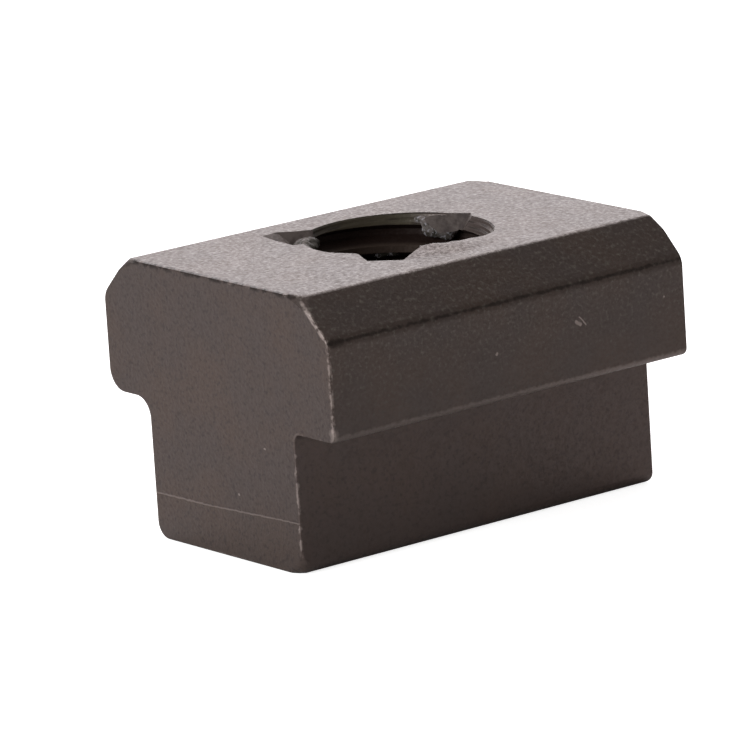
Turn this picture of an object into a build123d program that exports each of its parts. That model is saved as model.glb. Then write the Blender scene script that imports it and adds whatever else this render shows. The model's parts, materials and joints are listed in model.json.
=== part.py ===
from build123d import *
import os
from math import atan, cos, degrees, radians, sin, sqrt, tan

os.makedirs("parts", exist_ok=True)

# T slot nut: one steel block of T section that slides along the T slot of a machine table.
# The neck fills the slot's mouth, the two shoulders beside it pull up under the slot's lips,
# and a stud or screw comes down through the neck into the thread.
# Millimetres. X runs along the slot, Y across it, and Z goes up from the neck face to the
# flange face: the nut lies on its neck, upside down from how it sits in the slot. Seen along
# +X, the left side is +Y and the right side is -Y.
# The thread itself is not cut: the bore is at the minor diameter, where the thread's crests are.

# Section across the slot
slot_width = 12.0
slot_clearance = 0.3           # taken off the neck's width, both sides together
neck_height = 7.05
flange_overhang = 3.15         # flange past the neck, each side
flange_thickness = 6.95
flange_chamfer = 2.0           # 45 degrees, on both long edges of the flange face

# Rounded edges along the block: the bar is softer on its left side than on its right
left_foot_radius = 0.85        # where the neck's side meets the neck face
right_foot_radius = 0.6
left_root_radius = 1.0         # inside corner between neck and shoulder
right_root_radius = 0.4
left_edge_radius = 1.15        # outer edge of the shoulder
right_edge_radius = 0.4
chamfer_foot_radius = 0.9      # where each chamfer meets the flange's side
left_top_radius = 0.7          # where the chamfer meets the flange face
right_top_radius = 0.35

# Along the slot
nut_length = 22.3
end_break = 0.15               # edge break around both sawn ends
# The flange face's corners, knocked blunt: how deep the sharp corner is lost, by the sides
# along X and Y that it lies on
blunt_corners = {(1, 1): 0.3, (-1, 1): 0.2, (-1, -1): 0.22, (1, -1): 0.2}

# M10 x 1.5 thread, opened to its major diameter on the neck side and eased on the flange side
thread_diameter = 10.0
thread_pitch = 1.5
thread_offset = 0.5            # bore axis from the block's middle, along X
mouth_ease = 0.5               # past the thread crests, around the bore on the flange face
mouth_angle = 60.0             # of the cone that eases the mouth, from side to side

# Stake marks: one blow of a three-cornered punch on the flange side burrs the thread, so that
# the stud cannot be run through the nut and jack it off the slot's floor.
punch_bite = 2.15              # sharp corners past the thread crests, at the flange face
punch_steepness = 0.9          # depth of the punch's point over the reach of its corners
punch_off_axis = (-1.2, 0.3)   # punch axis from the bore axis, along X and Y
corner_wear = {0: 0.1, 120: 0.6, 240: 1.1}  # each corner's angle: width of the flat worn on it
lip_radius = 1.1               # round of the metal pushed into the bore under each corner
lip_push = 0.35                # how far it stands in from the thread crests
lip_root = 0.3                 # how deep it is rooted behind them

# Sizes that follow
neck_half = (slot_width - slot_clearance) / 2
flange_half = neck_half + flange_overhang
nut_height = neck_height + flange_thickness
crest_radius = (thread_diameter - thread_pitch) / 2
mouth_depth = mouth_ease / tan(radians(mouth_angle / 2))
punch_reach = crest_radius + punch_bite
punch_depth = punch_steepness * punch_reach
punch_x, punch_y = punch_off_axis


def limited(radius, *walls):
    """A fillet radius that leaves room on each flat that it runs into."""
    return min(radius, *(0.45 * wall for wall in walls))


def side_radii(foot, root, edge, top):
    """The section's radii on one side, from the neck face up to the flange face."""
    return [
        limited(foot, neck_height, neck_half),
        limited(root, neck_height, flange_overhang),
        limited(edge, flange_overhang, flange_thickness - flange_chamfer),
        limited(chamfer_foot_radius, flange_chamfer),
        limited(top, flange_chamfer),
    ]


def worn_reach(angle):
    """How far one worn corner of the punch reaches from its axis, at the flange face."""
    return punch_reach - corner_wear[angle] * cos(radians(30))


def lip_place(angle):
    """Centre of the ball that rounds the lip under one punch corner, from the bore axis."""
    # where the corner crosses the cylinder of the thread crests
    along = punch_x * cos(radians(angle)) + punch_y * sin(radians(angle))
    across_squared = punch_x**2 + punch_y**2 - along**2
    reach = sqrt(crest_radius**2 - across_squared) - along
    x = punch_x + reach * cos(radians(angle))
    y = punch_y + reach * sin(radians(angle))
    floor = nut_height - punch_steepness * (worn_reach(angle) - reach)
    outwards = 1 + (lip_radius - lip_push) / crest_radius
    return (x * outwards, y * outwards, floor - lip_push)


# The punch's end: three faces that lean in to a point, and a worn flat down each corner.
# It is made point up, with its axis on Z, and then mirrored to point down.
with BuildPart() as punch:
    with BuildSketch():
        RegularPolygon(punch_reach, 3, align=None)
    extrude(amount=0.9 * punch_depth, taper=degrees(atan(0.5 / punch_steepness)))
    for angle in corner_wear:
        corner = Vector(1, 0, 0).rotate(Axis.Z, angle)
        leaning = corner * punch_steepness + Vector(0, 0, 1)
        split(bisect_by=Plane(corner * worn_reach(angle), z_dir=leaning), keep=Keep.BOTTOM)
    mirror(about=Plane.XY, mode=Mode.REPLACE)

# The lips on their own: balls cut to a thin ring at the thread crests, below the eased mouth
with BuildPart() as lips:
    with Locations(*[lip_place(angle) for angle in corner_wear]):
        Sphere(lip_radius)
    Cylinder(
        crest_radius + lip_root,
        nut_height - mouth_depth,
        align=(Align.CENTER, Align.CENTER, Align.MIN),
        mode=Mode.INTERSECT,
    )

with BuildPart() as nut:
    # T section: each side's corners and radii from the neck face up to the flange face
    left_side = [
        (neck_half, 0),
        (neck_half, neck_height),
        (flange_half, neck_height),
        (flange_half, nut_height - flange_chamfer),
        (flange_half - flange_chamfer, nut_height),
    ]
    right_side = [(-y, z) for y, z in left_side]
    left_radii = side_radii(left_foot_radius, left_root_radius, left_edge_radius, left_top_radius)
    right_radii = side_radii(
        right_foot_radius, right_root_radius, right_edge_radius, right_top_radius
    )
    with BuildSketch(Plane.YZ):
        with BuildLine():
            FilletPolyline(
                *left_side,
                *reversed(right_side),
                radius=left_radii + right_radii[::-1],
                close=True,
            )
        make_face()
    extrude(amount=nut_length / 2, both=True)
    chamfer(nut.faces().filter_by(Axis.X).edges(), end_break)

    # Blunted corners: one small flat on each, that leans out from all three faces it meets
    for (along, across), depth in blunt_corners.items():
        corner = Vector(along * nut_length / 2, across * (flange_half - flange_chamfer), nut_height)
        sloped = Vector(0, across, 1).normalized()
        outwards = (Vector(along, 0, 1) + sloped).normalized()
        split(bisect_by=Plane(corner - outwards * depth, z_dir=outwards), keep=Keep.BOTTOM)

    # Bore, with the stud's lead-in on the neck face and the eased mouth on the flange face
    with Locations(Plane((thread_offset, 0, 0), z_dir=(0, 0, -1))):
        CounterSinkHole(crest_radius, thread_diameter / 2, counter_sink_angle=90)
    with Locations((thread_offset, 0, nut_height)):
        CounterSinkHole(crest_radius, crest_radius + mouth_ease, counter_sink_angle=mouth_angle)

    # Stake marks: the pushed-in lips, then the hollow that the punch leaves through them
    with Locations((thread_offset, 0, 0)):
        add(lips.part)
    with Locations((thread_offset + punch_x, punch_y, nut_height)):
        add(punch.part, mode=Mode.SUBTRACT)

nut.part.label = "t_slot_nut"
export_step(nut.part, "parts/t_slot_nut.step")
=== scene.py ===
# %% [markdown]
# # A staked T slot nut in blackened steel
# The real nut is one sawn length of T section bar: a neck that fills the slot's mouth, and a
# flange that pulls up under the slot's lips. It is tapped for a stud, one blow of a
# three-cornered punch has burred the last thread, and then it was blackened in hot salts.
# The CAD frame is loaded first, because every size and place below comes from it.

# %% Load the CAD frame
import json
import math
import random

import bmesh
import bpy
from mathutils import Matrix, Vector, noise

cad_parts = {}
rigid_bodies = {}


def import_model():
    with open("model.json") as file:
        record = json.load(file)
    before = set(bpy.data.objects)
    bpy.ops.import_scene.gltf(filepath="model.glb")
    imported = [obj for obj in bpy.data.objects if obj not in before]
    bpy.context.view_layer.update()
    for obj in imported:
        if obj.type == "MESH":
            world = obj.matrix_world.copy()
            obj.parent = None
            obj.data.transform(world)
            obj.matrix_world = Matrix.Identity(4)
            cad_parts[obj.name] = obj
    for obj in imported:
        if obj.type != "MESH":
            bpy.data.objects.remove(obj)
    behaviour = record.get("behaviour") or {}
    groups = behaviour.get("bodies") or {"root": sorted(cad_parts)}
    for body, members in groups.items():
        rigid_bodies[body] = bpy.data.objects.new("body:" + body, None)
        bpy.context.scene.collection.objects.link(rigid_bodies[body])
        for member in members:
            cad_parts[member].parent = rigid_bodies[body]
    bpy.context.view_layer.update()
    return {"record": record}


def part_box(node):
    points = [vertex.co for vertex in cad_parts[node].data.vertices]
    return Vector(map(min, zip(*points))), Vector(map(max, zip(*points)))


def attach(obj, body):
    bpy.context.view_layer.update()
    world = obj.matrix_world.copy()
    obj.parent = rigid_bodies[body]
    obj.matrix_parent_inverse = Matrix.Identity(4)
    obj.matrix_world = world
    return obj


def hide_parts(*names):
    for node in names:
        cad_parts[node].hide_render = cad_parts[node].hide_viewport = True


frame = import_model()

# %% [markdown]
# ## Sizes
# The work is done in millimetres, as on the bench, and the finished mesh is brought down to
# metres at the very end. The overall sizes are read from the CAD node's box and the bore's
# place from its mount, so they can't drift from the frame. Only the sizes that a box doesn't
# tell are written out here.

# %% Sizes of the block and of its bore, in millimetres
MM = 0.001
low, high = (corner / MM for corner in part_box("t_slot_nut"))
nut_length = high.x - low.x
flange_half = high.y
top = high.z

neck_half = 5.85
neck_height = 7.05
edge_chamfer = 2.0

stud = next(m for m in frame["record"]["mounts"] if m["kind"] == "threaded_hole")
bore = Vector((stud["pos_m"][0] / MM, 0, 0))
crest_radius = stud["dims"]["r_mm"]
root_radius = 5.0
pitch = 1.5
mouth_radius = 4.75
print(f"block {nut_length:.2f} x {2 * flange_half:.2f} x {top:.2f} mm, bore at x {bore.x:.2f}")

# %% [markdown]
# ## Three small helpers
# Each tool and each piece starts as a bmesh. `put_in_scene` turns one into an object, and
# `work` uses one object on another with a Boolean modifier, keeps the evaluated result and
# throws the tool away. A modifier does the same job as the editor's Boolean, and the exact
# solver copes with flat faces that lie in one plane.
#
# `note` writes a number on every face, which the Boolean hands on and the finish reads later:
# `made_by` says which tool made the face, and `rubbed` says how far it is worn bright.

# %% Helpers for objects, Booleans and face notes
ROLLED, TAPPED, TURNED, STRUCK, TORN = range(5)


def note(bm, name, value):
    """Writes one number on every face of the bmesh."""
    layer = bm.faces.layers.float.get(name) or bm.faces.layers.float.new(name)
    for face in bm.faces:
        face[layer] = value


def put_in_scene(name, bm):
    """A new object that holds the bmesh."""
    bmesh.ops.recalc_face_normals(bm, faces=bm.faces[:])
    mesh = bpy.data.meshes.new(name)
    bm.to_mesh(mesh)
    bm.free()
    piece = bpy.data.objects.new(name, mesh)
    bpy.context.scene.collection.objects.link(piece)
    return piece


def work(piece, tool, operation):
    """Cuts the tool out of the piece, or welds it on, and removes the tool."""
    step = piece.modifiers.new(tool.name, "BOOLEAN")
    step.operation = operation
    step.solver = "EXACT"
    step.object = tool
    shaped = piece.evaluated_get(bpy.context.evaluated_depsgraph_get())
    mesh = bpy.data.meshes.new_from_object(shaped)
    piece.modifiers.remove(step)
    piece.data = mesh
    bpy.data.objects.remove(tool)
    print(f"{operation.lower()} left {len(mesh.polygons)} faces")


# %% [markdown]
# ## The T section bar
# The bar is drawn as half a section, seven corners on one side of the middle plane. The
# mirror operator makes the other half, and one extrusion gives the length. This is how the
# drawn bar is thought of too: one section, any length.

# %% Draw the section and extrude it
half_section = [
    (0, 0),
    (neck_half, 0),
    (neck_half, neck_height),
    (flange_half, neck_height),
    (flange_half, top - edge_chamfer),
    (flange_half - edge_chamfer, top),
    (0, top),
]
bar = bmesh.new()
bar.faces.new([bar.verts.new((low.x, y, z)) for y, z in half_section])
bmesh.ops.mirror(bar, geom=bar.verts[:] + bar.edges[:] + bar.faces[:], axis="Y", merge_dist=0.001)
seam = [e for e in bar.edges if all(abs(v.co.y) < 0.001 for v in e.verts)]
bmesh.ops.dissolve_edges(bar, edges=seam)
grown = bmesh.ops.extrude_face_region(bar, geom=bar.faces[:])["geom"]
far_corners = [g for g in grown if isinstance(g, bmesh.types.BMVert)]
bmesh.ops.translate(bar, verts=far_corners, vec=(nut_length, 0, 0))
bmesh.ops.recalc_face_normals(bar, faces=bar.faces[:])
print("bar:", len(bar.faces), "faces")

# %% [markdown]
# Drawn bar has no sharp long edge, and its two sides are seldom alike: here the left side,
# at +Y, came out softer than the right. Every corner of the section gets its own radius. The
# bevel's width is how far the rounding starts from the corner, which is the radius times the
# tangent of half the turn, so a right angle and a chamfer's 45 degrees need different widths.

# %% Round the long edges
RIGHT, SLOPED = math.radians(90), math.radians(45)
roundings = {
    (neck_half, 0): (0.85, 0.6, RIGHT),
    (neck_half, neck_height): (1.0, 0.4, RIGHT),
    (flange_half, neck_height): (1.15, 0.4, RIGHT),
    (flange_half, top - edge_chamfer): (0.9, 0.9, SLOPED),
    (flange_half - edge_chamfer, top): (0.7, 0.35, SLOPED),
}
for (y, z), (left_radius, right_radius, turn) in roundings.items():
    for side_y, radius in ((y, left_radius), (-y, right_radius)):
        corner = Vector((side_y, z))
        edges = [e for e in bar.edges if all((v.co.yz - corner).length < 0.001 for v in e.verts)]
        bmesh.ops.bevel(
            bar,
            geom=edges,
            offset=radius * math.tan(turn / 2),
            offset_type="OFFSET",
            segments=10,
            profile=0.5,
            affect="EDGES",
            material=-1,
        )
print("rounded bar:", len(bar.faces), "faces")

# %% [markdown]
# The saw leaves a burr on both ends, and a file or a tumbling barrel takes it off. That edge
# is where the black wears through first. The narrow band is made with the bevel operator and
# cut into short lengths, and its rims are then shaken a few hundredths, each one only within
# the plane it borders, so that the band's width wanders but the big faces stay flat.

# %% Break the two sawn ends
note(bar, "made_by", ROLLED)
note(bar, "rubbed", 0.0)
rubbed = bar.faces.layers.float["rubbed"]
shake = random.Random(7)
end_breaks = {low.x: 0.15, high.x: 0.12}
edge_wander = 0.035
cut_length = 0.4
middle = Vector((0, 0, top / 2))
for end_x, width in end_breaks.items():
    rim = [e for e in bar.edges if all(abs(v.co.x - end_x) < 0.001 for v in e.verts)]
    band = bmesh.ops.bevel(
        bar,
        geom=rim,
        offset=width,
        offset_type="OFFSET",
        segments=2,
        profile=0.5,
        affect="EDGES",
        material=-1,
    )["faces"]
    for face in band:
        face[rubbed] = 1.0
    rails = {e for f in band for e in f.edges if abs(e.verts[0].co.x - e.verts[1].co.x) < 0.001}
    lengths = {}
    for edge in rails:
        lengths.setdefault(int(edge.calc_length() / cut_length), []).append(edge)
    for cuts, group in sorted(lengths.items()):
        if cuts:
            bmesh.ops.subdivide_edges(bar, edges=group, cuts=cuts)
    for vert in sorted(bar.verts, key=lambda v: v.co[:]):
        reach = abs(vert.co.x - end_x)
        wander = edge_wander * (shake.random() - 0.3)
        if reach < 0.001:
            inwards = (middle - vert.co).yz.normalized()
            vert.co.y += inwards.x * wander
            vert.co.z += inwards.y * wander
        elif abs(reach - width) < 0.001:
            vert.co.x -= math.copysign(wander, end_x)
print("bar with broken ends:", len(bar.faces), "faces")

nut = put_in_scene("nut_body", bar)

# %% [markdown]
# Blows and drops have blunted some corners. A blunt corner is part of a ball, so small flats
# that all touch one ball are filed on it, one after another. Each leans out between the three
# faces that meet at the corner, in shares of a sixth. The file is a small box whose lower face
# lies on the flat, so it takes nothing off the rest of the nut.

# %% Blunt the knocked corners
DOWN, UP = Vector((0, 0, -1)), Vector((0, 0, 1))
leanings = [(a, b, 6 - a - b) for a in range(1, 5) for b in range(1, 6 - a)]
half_rubbed = 0.5


def blunt(corner, faces, radius):
    """Rounds the corner where three faces meet, given by their outward directions."""
    # the ball's middle lies one radius inside all three faces
    inside = Matrix(faces).inverted() @ Vector([n.dot(corner) - radius for n in faces])
    for leaning in leanings:
        way = sum((n * share for n, share in zip(faces, leaning)), Vector()).normalized()
        file = bmesh.new()
        bmesh.ops.create_cube(file, size=2)
        bmesh.ops.translate(file, verts=file.verts[:], vec=UP)
        lean = way.to_track_quat("Z", "Y").to_matrix()
        bmesh.ops.rotate(file, verts=file.verts[:], cent=(0, 0, 0), matrix=lean)
        bmesh.ops.translate(file, verts=file.verts[:], vec=inside + way * radius)
        note(file, "made_by", ROLLED)
        note(file, "rubbed", half_rubbed)
        work(nut, put_in_scene("file", file), "DIFFERENCE")


for along, across, radius in ((1, 1, 0.75), (-1, 1, 0.5), (-1, -1, 0.55), (1, -1, 0.5)):
    end, slope = Vector((along, 0, 0)), Vector((0, across, 1)).normalized()
    corner = Vector((along * high.x, across * (flange_half - edge_chamfer), top))
    blunt(corner, (end, UP, slope), radius)
foot = Vector((low.x, -neck_half, 0))
blunt(foot, (Vector((-1, 0, 0)), Vector((0, -1, 0)), DOWN), 0.6)

# %% [markdown]
# ## The thread
# A tap is a helix of one thread profile. The profile of a single pitch is spun round the
# bore's axis, and `dvec` lifts it a little at each step, so that the end of one turn meets
# the start of the next. Merging the doubled seam, cutting the helix off square under the neck
# face and a little below the flange face, and closing both ends makes a solid tap, which is
# then cut out of the block.

# %% Make a tap and cut the thread
steps_per_turn = 72
turns = 13
crest_flat = 0.34
flank = (root_radius - crest_radius) * math.tan(math.radians(30))
thread_start = Matrix.Rotation(math.radians(82), 3, "Z")
first_crest, turns_below = top - 0.1, 11
lowest_crest = first_crest - turns_below * pitch
tap_bottom, tap_top = -0.5, top - 0.35
profile = [
    (crest_radius, 0),
    (crest_radius, crest_flat / 2),
    (root_radius, crest_flat / 2 + flank),
    (root_radius, pitch - crest_flat / 2 - flank),
    (crest_radius, pitch - crest_flat / 2),
    (crest_radius, pitch),
]
tap = bmesh.new()
line = [tap.verts.new((r, 0, z)) for r, z in profile]
rungs = [tap.edges.new(pair) for pair in zip(line, line[1:])]
bmesh.ops.spin(
    tap,
    geom=line + rungs,
    cent=(0, 0, 0),
    axis=(0, 0, 1),
    dvec=(0, 0, pitch / steps_per_turn),
    angle=2 * math.pi * turns,
    steps=steps_per_turn * turns,
)
bmesh.ops.remove_doubles(tap, verts=tap.verts[:], dist=0.002)
bmesh.ops.rotate(tap, verts=tap.verts[:], cent=(0, 0, 0), matrix=thread_start)
bmesh.ops.translate(tap, verts=tap.verts[:], vec=bore + UP * lowest_crest)
for level, way in ((tap_bottom, DOWN), (tap_top, UP)):
    bmesh.ops.bisect_plane(
        tap,
        geom=tap.verts[:] + tap.edges[:] + tap.faces[:],
        dist=1e-5,
        plane_co=(0, 0, level),
        plane_no=way,
        clear_outer=True,
    )
    mouth = [e for e in tap.edges if e.is_boundary and abs(e.verts[0].co.z - level) < 0.01]
    bmesh.ops.holes_fill(tap, edges=mouth, sides=0)
print("tap:", len(tap.faces), "faces, open edges:", sum(e.is_boundary for e in tap.edges))
note(tap, "made_by", TAPPED)
work(nut, put_in_scene("tap", tap), "DIFFERENCE")

# %% [markdown]
# Both ends of a tapped hole are countersunk so that the first thread doesn't tear: widely on
# the neck side, where the stud comes in, and steeply on the flange side. The tool chatters a
# little and leaves fine rings, so its flank is drawn as a row of shallow steps, and one full
# spin turns it into the countersink.

# %% Countersink both mouths
ring_pitch, ring_depth = 0.12, 0.036


def countersink(name, radius, level, way, half_angle):
    """A cone that has the given radius at the given level and narrows into the nut."""
    deep, proud = 1.3, 0.4
    lean = math.tan(math.radians(half_angle))
    rings = int((deep + proud) / ring_pitch)
    flanks = []
    for ring in range(rings + 1):
        climb = proud - ring * ring_pitch
        notch = ring_depth if ring % 2 else 0.0
        flanks.append((radius + climb * lean + notch, climb))
    line = [(0, proud)] + flanks + [(0, flanks[-1][1])]
    sink = bmesh.new()
    points = [sink.verts.new((r, 0, way * z)) for r, z in line]
    sides = [sink.edges.new(pair) for pair in zip(points, points[1:])]
    bmesh.ops.spin(
        sink,
        geom=points + sides,
        cent=(0, 0, 0),
        axis=(0, 0, 1),
        angle=2 * math.pi,
        steps=144,
        use_merge=True,
    )
    bmesh.ops.remove_doubles(sink, verts=sink.verts[:], dist=1e-4)
    bmesh.ops.translate(sink, verts=sink.verts[:], vec=bore + UP * level)
    note(sink, "made_by", TURNED)
    work(nut, put_in_scene(name, sink), "DIFFERENCE")


countersink("lead_in", root_radius, 0.0, -1, 45)
countersink("mouth_ease", mouth_radius, top, 1, 30)

# %% [markdown]
# ## The stake marks
# A punch with three worn corners is struck into the mouth. Round the right-hand corner the
# metal bulges up beside the notch, so two low welts go on first. Each is a flat hump, spun
# round the bore for part of a turn. Its height fades out towards both ends, where the hump
# also draws back from the mouth.

# %% Raise the welts beside the right-hand notch
def welt(name, start, stop, height, peak):
    """A low hump on the mouth's rim, between two angles in degrees."""
    hump = bmesh.new()
    line = [(4.2, -0.5), (4.22, 0.5), (4.4, 0.95), (4.6, 1.0), (4.9, 0.8), (5.3, 0.42), (5.7, 0.1)]
    line += [(5.95, -0.05), (5.95, -0.5)]
    face = hump.faces.new([hump.verts.new((r, 0, z)) for r, z in line])
    bmesh.ops.spin(
        hump,
        geom=[face],
        cent=(0, 0, 0),
        axis=(0, 0, 1),
        angle=math.radians(stop - start),
        steps=36,
    )
    drawn_back, full_height = mouth_radius + 0.05, 0.15
    for vert in hump.verts:
        turned = math.degrees(math.atan2(vert.co.y, vert.co.x)) % 360
        share = min(turned / (stop - start), 1.0)
        rise = math.sin(math.pi * share ** (math.log(0.5) / math.log(peak))) ** 1.5
        reach = vert.co.xy.length
        fill = min(1.0, rise * height / full_height)
        if reach < drawn_back:
            vert.co.xy *= 1 + (drawn_back - reach) * (1 - fill) / reach
        if vert.co.z > 0:
            wobble = 1 + 0.3 * noise.noise(vert.co * 1.7)
            vert.co.z *= height * rise * wobble
            vert.co.z += 0.002
    turn = Matrix.Rotation(math.radians(start), 3, "Z")
    bmesh.ops.rotate(hump, verts=hump.verts[:], cent=(0, 0, 0), matrix=turn)
    bmesh.ops.translate(hump, verts=hump.verts[:], vec=bore + UP * top)
    note(hump, "made_by", ROLLED)
    work(nut, put_in_scene(name, hump), "UNION")


welt("left_welt", 180, 216, 0.05, 0.6)
welt("right_welt", 228, 316, 0.3, 0.27)

# %% [markdown]
# The blow pushes steel ahead of each corner into the bore, and steel that is pushed so near
# an edge tears. Each such lip is a ball, pressed into an egg, turned along the rim and made
# uneven by two sizes of noise. The welding Boolean joins it to the wall, and the notches are
# struck through the lips afterwards, so that a notch runs on over the metal it has pushed in.

# %% Push torn metal into the bore
def torn(place, size, turn):
    """Welds on one ragged lip of torn metal."""
    lip = bmesh.new()
    bmesh.ops.create_icosphere(lip, subdivisions=4, radius=1)
    for vert in lip.verts:
        spot = vert.co * Vector(size) * 2 + Vector(place)
        vert.co *= 1 + 0.3 * noise.noise(spot) + 0.04 * noise.noise(spot * 3)
    bmesh.ops.scale(lip, vec=size, verts=lip.verts[:])
    along_rim = Matrix.Rotation(math.radians(turn), 3, "Z")
    bmesh.ops.rotate(lip, verts=lip.verts[:], cent=(0, 0, 0), matrix=along_rim)
    bmesh.ops.translate(lip, verts=lip.verts[:], vec=place)
    note(lip, "made_by", TORN)
    work(nut, put_in_scene("torn_lip", lip), "UNION")


torn((4.6, 1.75, 13.38), (0.38, 1.05, 0.6), 25)
torn((4.25, 2.75, 13.62), (0.25, 0.5, 0.22), 38)
torn((2.7, 3.95, 12.2), (0.8, 0.3, 0.35), -35)

# %% [markdown]
# The punch's three corners each drive a notch into the rim, and no two went in alike. Seen
# from above a notch is a small polygon whose inner end lies over the open bore. Its sides
# lean in to one point below, so the cutter is that polygon with its underside poked down to
# the point, and a straight shank above.

# %% Strike the three notches
shank = 0.8


def notch(name, outline, point):
    """Cuts one notch with this outline at the flange face, leaning in to the point."""
    cutter = bmesh.new()
    ring = [cutter.verts.new((x, y, top)) for x, y in outline]
    grown = bmesh.ops.extrude_face_region(cutter, geom=[cutter.faces.new(ring)])["geom"]
    crown = [g for g in grown if isinstance(g, bmesh.types.BMVert)]
    bmesh.ops.translate(cutter, verts=crown, vec=UP * shank)
    base = next(f for f in cutter.faces if all(abs(v.co.z - top) < 0.001 for v in f.verts))
    bmesh.ops.poke(cutter, faces=[base])["verts"][0].co = point
    note(cutter, "made_by", STRUCK)
    work(nut, put_in_scene(name, cutter), "DIFFERENCE")


long_notch = [(-4.3, 2.3), (-4.2, 3.9), (-3.95, 5.27), (-2.98, 5.35), (-2.24, 4.68), (-1.3, 4.2)]
notch("long_notch", long_notch + [(-1.2, 2.6), (-2.6, 1.6)], (-2.3, 3.0, top - 1.5))
far_notch = [(4.1, 2.85), (4.62, 2.15), (5.67, 0.67), (5.25, 0.05)]
notch("far_notch", far_notch + [(3.6, 0.2), (3.1, 1.9)], (4.2, 0.6, top - 1.6))
blunt_notch = [(-1.45, -4.2), (-2.35, -4.5), (-3.09, -4.82), (-4.26, -3.56), (-3.6, -1.9)]
notch("blunt_notch", blunt_notch + [(-2.2, -1.2), (-0.6, -2.6)], (-2.0, -2.6, top - 2.0))

# %% [markdown]
# The long notch stops short of the bore: a saddle of torn metal still stands between them,
# a little under the rim. It tore after the corner had passed, so it is welded on last.

# %% Leave the saddle beside the long notch
torn((-2.4, 3.8, 13.36), (0.6, 1.3, 0.42), -46)
torn((-3.45, 2.4, 13.4), (0.42, 1.2, 0.38), -32)

# %% [markdown]
# The mesh now goes to metres, where Blender and the CAD frame agree. Flat faces that meet
# roundings need weighted normals, or their shading would lean towards the small faces at
# their rims. Real corners, sharper than 24 degrees, stay sharp.

# %% Bring the nut down to metres and shade it
sharp_from = math.radians(24)
mesh = nut.data
mesh.transform(Matrix.Scale(MM, 4))
for face in mesh.polygons:
    face.use_smooth = True
mesh.set_sharp_from_angle(angle=sharp_from)
even = nut.modifiers.new("weighted_normals", "WEIGHTED_NORMAL")
even.mode = "FACE_AREA"
even.keep_sharp = True
weighted = nut.evaluated_get(bpy.context.evaluated_depsgraph_get())
shaded = bpy.data.meshes.new_from_object(weighted)
nut.modifiers.remove(even)
nut.data = shaded
print("nut body:", len(shaded.polygons), "faces", len(shaded.vertices), "vertices")

# %% [markdown]
# ## The finish
# Hot blackening leaves a thin skin, dark and a little brown, through which the steel's own
# grain still shows. It is built as one material that reads the object's own coordinates, so
# it stays put on the metal from every side. The face notes made with the tools decide where
# the skin is whole, oily, scraped thin or torn open.
#
# Nodes are added by six short helpers. `add` makes a node and fills its sockets, `grain` is a
# noise whose size is given in millimetres, and `window` turns a number into a soft mask.
# `times` multiplies masks, `paint` lays one colour over another, and `made_by` reads the notes.

# %% Helpers for the material's nodes
steel = bpy.data.materials.new("blackened_steel")
steel.use_nodes = True
tree = steel.node_tree
shader = tree.nodes["Principled BSDF"]


def add(kind, sockets=(), **settings):
    """A new node, whose sockets take values or the outputs of other nodes."""
    made = tree.nodes.new("ShaderNode" + kind)
    for name, value in settings.items():
        setattr(made, name, value)
    for socket, value in dict(sockets).items():
        if isinstance(value, bpy.types.NodeSocket):
            tree.links.new(value, made.inputs[socket])
        else:
            made.inputs[socket].default_value = value
    return made


metres = add("TexCoord").outputs["Object"]
place = add("VectorMath", {0: metres, "Scale": 1 / MM}, operation="SCALE").outputs[0]


def grain(size, detail=2.0, stretch=(1, 1, 1)):
    """Noise with spots of about this size in millimetres, from 0 to 1."""
    drawn = add("VectorMath", {0: place, 1: stretch}, operation="MULTIPLY").outputs[0]
    return add("TexNoise", {"Vector": drawn, "Scale": 0.5 / size, "Detail": detail}).outputs["Fac"]


def window(value, start, stop):
    """0 up to start and 1 from stop on, with a soft step between."""
    sockets = {"Value": value, "From Min": start, "From Max": stop}
    return add("MapRange", sockets, interpolation_type="SMOOTHSTEP").outputs["Result"]


def times(*factors):
    """The product of some masks."""
    product = factors[0]
    for factor in factors[1:]:
        product = add("Math", {0: product, 1: factor}, operation="MULTIPLY").outputs[0]
    return product


def paint(under, over, mask):
    """One colour laid over another where the mask says so."""
    blend = add("Mix", {0: mask, 6: under, 7: over}, data_type="RGBA")
    return blend.outputs[2]


def made_by(tool):
    """1 on the faces that one tool made."""
    tag = add("Attribute", attribute_name="made_by").outputs["Fac"]
    return add("Math", {0: tag, 1: float(tool), 2: 0.25}, operation="COMPARE").outputs[0]


# %% [markdown]
# Scratches, nicks and stains lie at known places, so each is a stroke through two points or
# more. The distance from the stroke makes its mask. A little noise is added to the place
# first, and this frays the stroke's edges. A round nick is a stroke with both ends in one
# point.

# %% A stroke from one point to another
fray = add("TexNoise", {"Vector": place, "Scale": 3.5, "Detail": 3.0}).outputs["Color"]
fray = add("VectorMath", {0: fray, 1: (0.5, 0.5, 0.5)}, operation="SUBTRACT").outputs[0]


def stroke_mask(start, stop, width, ragged=0.1):
    """1 along the stroke, fading to 0 at half its width from the middle."""
    start, stop = Vector(start), Vector(stop)
    shaken = add("VectorMath", {0: fray, "Scale": ragged}, operation="SCALE").outputs[0]
    moved = add("VectorMath", {0: place, 1: shaken}, operation="ADD").outputs[0]
    offset = add("VectorMath", {0: moved, 1: start}, operation="SUBTRACT").outputs[0]
    run = stop - start
    per_run = run / max(run.length_squared, 1e-6)
    along = add("VectorMath", {0: offset, 1: per_run}, operation="DOT_PRODUCT").outputs["Value"]
    share = add("Math", {0: along, 1: 1.0}, operation="MULTIPLY", use_clamp=True).outputs[0]
    nearest = add("VectorMath", {0: run, "Scale": share}, operation="SCALE").outputs[0]
    gap = add("VectorMath", {0: offset, 1: nearest}, operation="DISTANCE").outputs["Value"]
    return window(gap, width / 2, width / 5)


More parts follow.
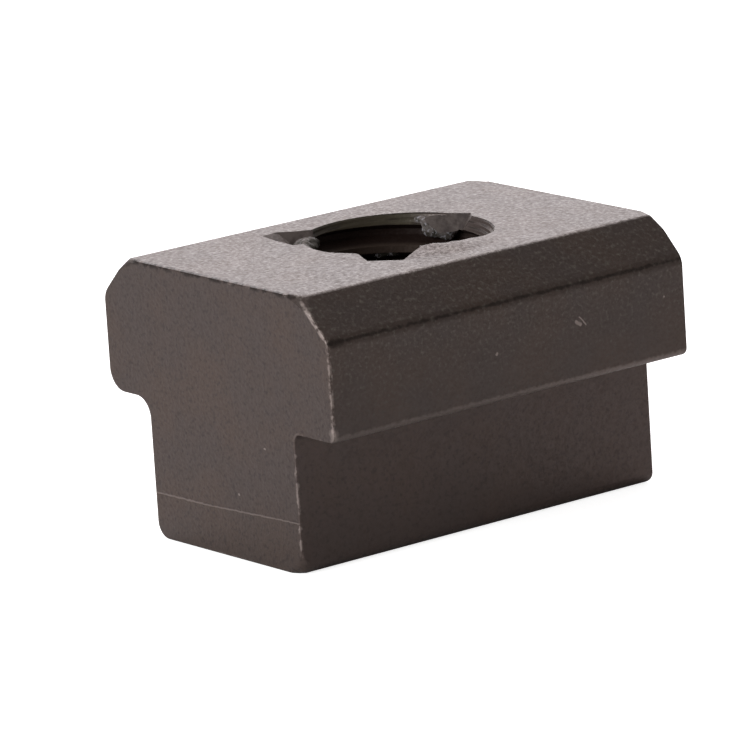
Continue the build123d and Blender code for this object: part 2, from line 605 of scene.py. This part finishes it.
def strokes(points, width, ragged=0.1):
    """One mask for a stroke that runs through several points."""
    masks = [stroke_mask(a, b, width, ragged) for a, b in zip(points, points[1:])]
    whole = masks[0]
    for mask in masks[1:]:
        whole = add("Math", {0: whole, 1: mask}, operation="MAXIMUM").outputs[0]
    return whole


# %% [markdown]
# The skin's colour wanders a little between a warm and a cold black, with fine darker specks
# where the salts bit deeper and fine lighter ones where they took badly. The lighter ones
# fade out down the sides, and the sawn ends have none. The neck's two sides are painted a
# little lighter and redder, as painted light for the floor's bounce, and struck faces are
# scraped thin and look greyer.

# %% Colour of the skin
warm, cold = (0.078, 0.053, 0.043, 1), (0.070, 0.051, 0.045, 1)
dark_speck, light_speck = (0.032, 0.021, 0.021, 1), (0.17, 0.145, 0.12, 1)
struck_grey, painted_floor_bounce = (0.125, 0.100, 0.091, 1), (0.128, 0.088, 0.078, 1)
shader.inputs["Metallic"].default_value = 0.35

at_x, at_y, at_z = add("SeparateXYZ", {0: place}).outputs
along_slot = add("Math", {0: at_x}, operation="ABSOLUTE").outputs[0]
across_slot = add("Math", {0: at_y}, operation="ABSOLUTE").outputs[0]

skin = paint(cold, warm, window(grain(1.5, 3.0), 0.3, 0.7))
skin = paint(skin, dark_speck, times(window(grain(0.1, 2.0), 0.5, 0.72), 0.6))
upwards, off_ends = window(at_z, 4.0, top), window(along_slot, high.x, high.x - 0.2)
badly_taken = times(window(grain(0.1, 3.0), 0.47, 0.78), upwards, off_ends)
skin = paint(skin, light_speck, times(badly_taken, 0.85))
neck_skin = window(across_slot, neck_half - 0.15, neck_half - 0.02)
neck_sides = times(neck_skin, window(at_z, neck_height, neck_height - 0.45))
# painted light: the neck's two sides a little lighter and redder, standing in for light bounced up
# from the floor
skin = paint(skin, painted_floor_bounce, times(neck_sides, 0.3))
streaks = window(grain(0.25, 3.0, (1, 1, 0.25)), 0.42, 0.65)
scraped = paint(struck_grey, dark_speck, times(streaks, 0.6))
skin = paint(skin, scraped, times(made_by(STRUCK), 0.85))
print("skin:", len(tree.nodes), "nodes so far")

# %% [markdown]
# Cutting oil was left in the bore. The turned mouth keeps an olive film that thickens to
# brown on one side and is wiped to a reddish grey on the other, and oil lies in its rings too.
# The thread's grooves are painted near black and only its crests a lighter brown, as painted
# shade for the dark inside of the bore. Where the film and this painted shade lie is read from
# the place along the slot, the height and the distance from the bore's axis.

# %% Colour of the mouth and of the thread
olive, brown, wiped = (0.072, 0.059, 0.038, 1), (0.020, 0.013, 0.010, 1), (0.095, 0.070, 0.062, 1)
painted_shade_black, crest_brown = (0.032, 0.018, 0.014, 1), (0.090, 0.062, 0.048, 1)

film = paint(olive, brown, window(at_x, 0.2, -3.0))
film = paint(film, wiped, window(at_x, 3.4, 4.9))
turn_per_mm = math.pi / ring_pitch  # a ring and the gap after it make one whole turn
rings = add("Math", {0: at_z, 1: turn_per_mm}, operation="MULTIPLY").outputs[0]
rings = window(add("Math", {0: rings}, operation="SINE").outputs[0], 0.1, 0.9)
film = paint(film, brown, times(rings, window(grain(0.5, 2.0, (1, 1, 4)), 0.35, 0.6), 0.7))
skin = paint(skin, film, made_by(TURNED))

on_axis = add("CombineXYZ", {"X": bore.x, "Y": 0.0, "Z": at_z}).outputs[0]
from_axis = add("VectorMath", {0: place, 1: on_axis}, operation="DISTANCE").outputs["Value"]
# painted shade: the thread's grooves near black and its crests lighter, for the dark inside of the
# bore
threads = paint(painted_shade_black, crest_brown, window(from_axis, crest_radius + 0.3, crest_radius))
skin = paint(skin, threads, made_by(TAPPED))
print("mouth and thread:", len(tree.nodes), "nodes so far")

# %% [markdown]
# Torn steel is a mottled grey near the rim and darker further down. On the near side of the
# bore, where the long notch's saddle stands, it is darker towards the bore too. Its grains
# carry sparse painted glints, bright specks that stand in for highlights, faintest on the saddle.

# %% Colour of the torn metal
torn_dark, torn_grey = (0.045, 0.039, 0.028, 1), (0.20, 0.17, 0.16, 1)
painted_glint = (0.36, 0.34, 0.36, 1)

high_up = window(at_z, top - 1.6, top - 0.5)
off_bore = window(from_axis, crest_radius, crest_radius + 0.7)
far_side = window(at_x, -0.5, 0.5)
kept_grey = add("Math", {0: off_bore, 1: far_side}, operation="MAXIMUM").outputs[0]
mottled = window(grain(0.2, 3.0), 0.37, 0.6)
tears = paint(torn_dark, torn_grey, times(high_up, kept_grey, mottled))
fainter_near = {"Value": at_x, "From Min": -2.0, "From Max": 2.0, "To Min": 0.35}
share = add("MapRange", fainter_near).outputs["Result"]
# painted highlight: bright glint specks on the torn metal, fainter towards the near side and the
# saddle
painted_glint_mask = times(window(grain(0.09, 2.0), 0.54, 0.66), share)
skin = paint(skin, paint(tears, painted_glint, painted_glint_mask), made_by(TORN))
print("torn metal:", len(tree.nodes), "nodes so far")

# %% [markdown]
# Wear shows bare steel on the broken edges at the sawn ends, most along the right-hand
# corner of the near end, where the nut has been dragged in and out of its slot. Further down
# that corner, and down the neck's, it is only rubbed in spots. Along the right shoulder's
# rounded outer edge a faint pale strip is painted in the bare colour along its whole length:
# a painted reflection of the white floor. Most of the masks are broken up by grain, as wear
# takes the high spots first.

# %% Worn edges
bare = (0.38, 0.31, 0.28, 1)
near, far, right = low.x, high.x, -flange_half
slope_foot, slope_head = top - edge_chamfer, -(flange_half - edge_chamfer)
shoulder = neck_height

edges = add("Attribute", attribute_name="rubbed").outputs["Fac"]
skin = paint(skin, bare, times(edges, window(grain(0.3, 3.0), 0.52, 0.7), 0.22))
worn = strokes([(near, slope_head + 0.1, top - 0.1), (near, right, slope_foot)], 0.36, 0.2)
skin = paint(skin, bare, times(worn, window(grain(0.2, 3.0), 0.33, 0.5), 0.8))
worn = strokes([(near, right, slope_foot), (near, right, shoulder)], 0.36, 0.25)
skin = paint(skin, bare, times(worn, window(grain(0.13, 3.0), 0.4, 0.58), 0.55))
worn = strokes([(near, -neck_half, 6.0), (near, -neck_half, 0.4)], 0.32, 0.3)
skin = paint(skin, bare, times(worn, window(grain(0.22, 3.0), 0.43, 0.56), 0.5))
# painted reflection: a faint pale strip along the rounded lower edge of the flange's right side,
# for the white floor seen in it
painted_floor_reflection = strokes([(near, right, shoulder + 0.08), (far, right, shoulder + 0.08)], 0.7, 0.3)
skin = paint(skin, bare, times(painted_floor_reflection, 0.24))
rubs = strokes([(near, right, shoulder + 0.5), (near, right, shoulder)], 0.8, 0.3)
skin = paint(skin, bare, times(rubs, 0.3))
print("worn edges:", len(tree.nodes), "nodes so far")

# %% [markdown]
# A thin dark line is painted where the slope meets the flange's right side, and it is thicker
# at the line's near end. Dirt lies in the edge between the flange face and the sawn end.

# %% Dark edge lines and dirt
# a near black, used for the dark line at the slope's foot and for the dirt
scale = (0.019, 0.011, 0.008, 1)
dark_edge_line = strokes([(near, right, slope_foot), (far, right, slope_foot)], 0.33, 0.2)
skin = paint(skin, scale, times(dark_edge_line, window(grain(0.35, 3.0), 0.2, 0.45), 0.85))
dark_edge_blot = strokes([(near + 0.3, right, slope_foot - 0.05), (near + 0.9, right, slope_foot)], 0.6, 0.3)
skin = paint(skin, scale, times(dark_edge_blot, 0.6))
dirty = strokes([(near, 6.6, top), (near, -6.4, top)], 0.56, 0.22)
skin = paint(skin, scale, times(dirty, window(grain(0.25, 3.0), 0.43, 0.53), 0.95))
print("scale and dirt:", len(tree.nodes), "nodes so far")

# %% [markdown]
# A scriber has crossed the near end low down, in a line that bends a little, and a few knocks
# have left small bright nicks in the near end and in the flange's right side.

# %% Scribed line and nicks
scribed = strokes([(near, 5.7, 2.32), (near, 1.3, 2.38), (near, -5.9, 2.66)], 0.13, 0.12)
skin = paint(skin, bare, times(scribed, 0.32))
nicks = [
    ((near, -1.11, 3.33), (near, -1.11, 3.33), 0.17),
    ((near, -3.48, 6.0), (near, -3.4, 6.0), 0.12),
    ((4.1, right, 10.12), (4.38, right, 9.93), 0.24),
    ((4.35, right, 10.32), (4.75, right, 9.85), 0.1),
    ((-0.94, right, 9.5), (-0.94, right, 9.5), 0.2),
    ((9.8, right, 10.3), (9.8, right, 10.3), 0.16),
]
for start, stop, width in nicks:
    skin = paint(skin, bare, times(strokes([start, stop], width, 0.14), 0.62))
tree.links.new(skin, shader.inputs["Base Color"])
print("scribed line and nicks:", len(tree.nodes), "nodes so far")

# %% [markdown]
# The gloss wanders with the fine grain, and the torn metal is matt. The bump has two sizes: the
# fine pitting of the salts and the coarser orange peel of drawn steel. The scriber's line is a
# shallow groove.

# %% Gloss and grain
relief_depth = 0.016 * MM
peel = grain(0.3, 3.0)
fine = grain(0.08, 2.0)
by_grain = {"Value": fine, "From Min": 0.3, "From Max": 0.7, "To Min": 0.33, "To Max": 0.60}
gloss = add("MapRange", by_grain).outputs["Result"]
gloss = add("Math", {0: made_by(TORN), 1: 0.3, 2: gloss}, operation="MULTIPLY_ADD").outputs[0]
tree.links.new(gloss, shader.inputs["Roughness"])
height = add("Math", {0: peel, 1: 1.3, 2: fine}, operation="MULTIPLY_ADD").outputs[0]
height = add("Math", {0: scribed, 1: -1.5, 2: height}, operation="MULTIPLY_ADD").outputs[0]
relief = add("Bump", {"Height": height, "Strength": 1.0, "Distance": relief_depth}).outputs[0]
tree.links.new(relief, shader.inputs["Normal"])

nut.data.materials.clear()
nut.data.materials.append(steel)
print("finish:", len(tree.nodes), "nodes")

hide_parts("t_slot_nut")
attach(nut, "root")
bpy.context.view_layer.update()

# %% [markdown]
# ## The studio
# The nut lies on a sheet of white paper, a hair below it so that the two faces don't fight.
# The sheet glows a little for the camera alone. This brings it up to white without more
# light on the nut, and the nut's soft shadow still shows.

# %% Floor
hair, sheet_reach = 0.00002, 1.5
ground = bmesh.new()
bmesh.ops.create_grid(ground, x_segments=1, y_segments=1, size=sheet_reach)
bmesh.ops.translate(ground, verts=ground.verts[:], vec=(0, 0, -hair))
floor = put_in_scene("floor", ground)
paper = bpy.data.materials.new("white_paper")
paper.use_nodes = True
nodes, links = paper.node_tree.nodes, paper.node_tree.links
sheet = nodes["Principled BSDF"]
sheet.inputs["Base Color"].default_value = (0.92, 0.92, 0.92, 1)
sheet.inputs["Roughness"].default_value = 0.9
lift = nodes.new("ShaderNodeEmission")
lift.inputs["Strength"].default_value = 0.84
ray = nodes.new("ShaderNodeLightPath")
seen = nodes.new("ShaderNodeMixShader")
both = nodes.new("ShaderNodeAddShader")
links.new(sheet.outputs[0], both.inputs[0])
links.new(lift.outputs[0], both.inputs[1])
links.new(ray.outputs["Is Camera Ray"], seen.inputs[0])
links.new(sheet.outputs[0], seen.inputs[1])
links.new(both.outputs[0], seen.inputs[2])
links.new(seen.outputs[0], nodes["Material Output"].inputs["Surface"])
floor.data.materials.append(paper)
print("floor:", len(nodes), "nodes")

# %% [markdown]
# Three soft boxes: one beyond the near end lights the sawn face, and two behind and above
# graze the flange face, which turns pale while the sides stay dark. The first is tinted a
# little cold and the other two a little pink. A faint, slightly warm room fills in the rest.

# %% Lights
cold_light, pink_light = (0.97, 1.0, 1.03), (1.0, 0.95, 0.97)
world = bpy.data.worlds.new("studio")
world.use_nodes = True
bpy.context.scene.world = world
room = world.node_tree.nodes["Background"]
room.inputs["Strength"].default_value = 0.2
room.inputs["Color"].default_value = (1, 0.96, 0.92, 1)


def softbox(name, spot, size, power, tint):
    """A square lamp that faces the nut."""
    lamp = bpy.data.lights.new(name, "AREA")
    lamp.size = size
    lamp.energy = power
    lamp.color = tint
    holder = bpy.data.objects.new(name, lamp)
    holder.location = spot
    holder.rotation_euler = (-Vector(spot)).to_track_quat("-Z", "Y").to_euler()
    bpy.context.scene.collection.objects.link(holder)
    print(f"{name}: {power} W")


softbox("left_softbox", (-0.6, 0.0, 0.2), 0.4, 2.95, cold_light)
softbox("high_softbox", (0.3, 0.4, 0.6), 0.5, 1.9, pink_light)
softbox("back_softbox", (0.35, 0.5, 0.35), 0.7, 3.3, pink_light)

# %% [markdown]
# A long lens looks down on the near end and the right side from a hand's height. It is
# turned a little about its own axis, as a camera on a loose tripod head is. It starts over
# the nut, looking down: it is shifted and backed off, then rolled, tilted up, and swung round
# the upright axis at last. The Standard view shows a colour about as it is written.

# %% Camera
swing, look_down, roll = math.radians(-37.5969), math.radians(13.5958), math.radians(-3.7114)
shift_right, shift_up, back_off = -0.0016341, 0.0067038, 0.3342935
camera_data = bpy.data.cameras.new("camera")
camera_data.lens = 322.535
camera_data.sensor_width = 36
camera_data.clip_start = 0.01
camera = bpy.data.objects.new("camera", camera_data)
bpy.context.scene.collection.objects.link(camera)
bpy.context.scene.camera = camera
tilt = Matrix.Rotation(math.pi / 2 - look_down, 4, "X") @ Matrix.Rotation(roll, 4, "Z")
stand_off = Matrix.Translation((shift_right, shift_up, back_off))
camera.matrix_world = Matrix.Rotation(swing, 4, "Z") @ tilt @ stand_off
print("camera at", [round(c, 3) for c in camera.matrix_world.translation])

bpy.context.scene.view_settings.view_transform = "Standard"
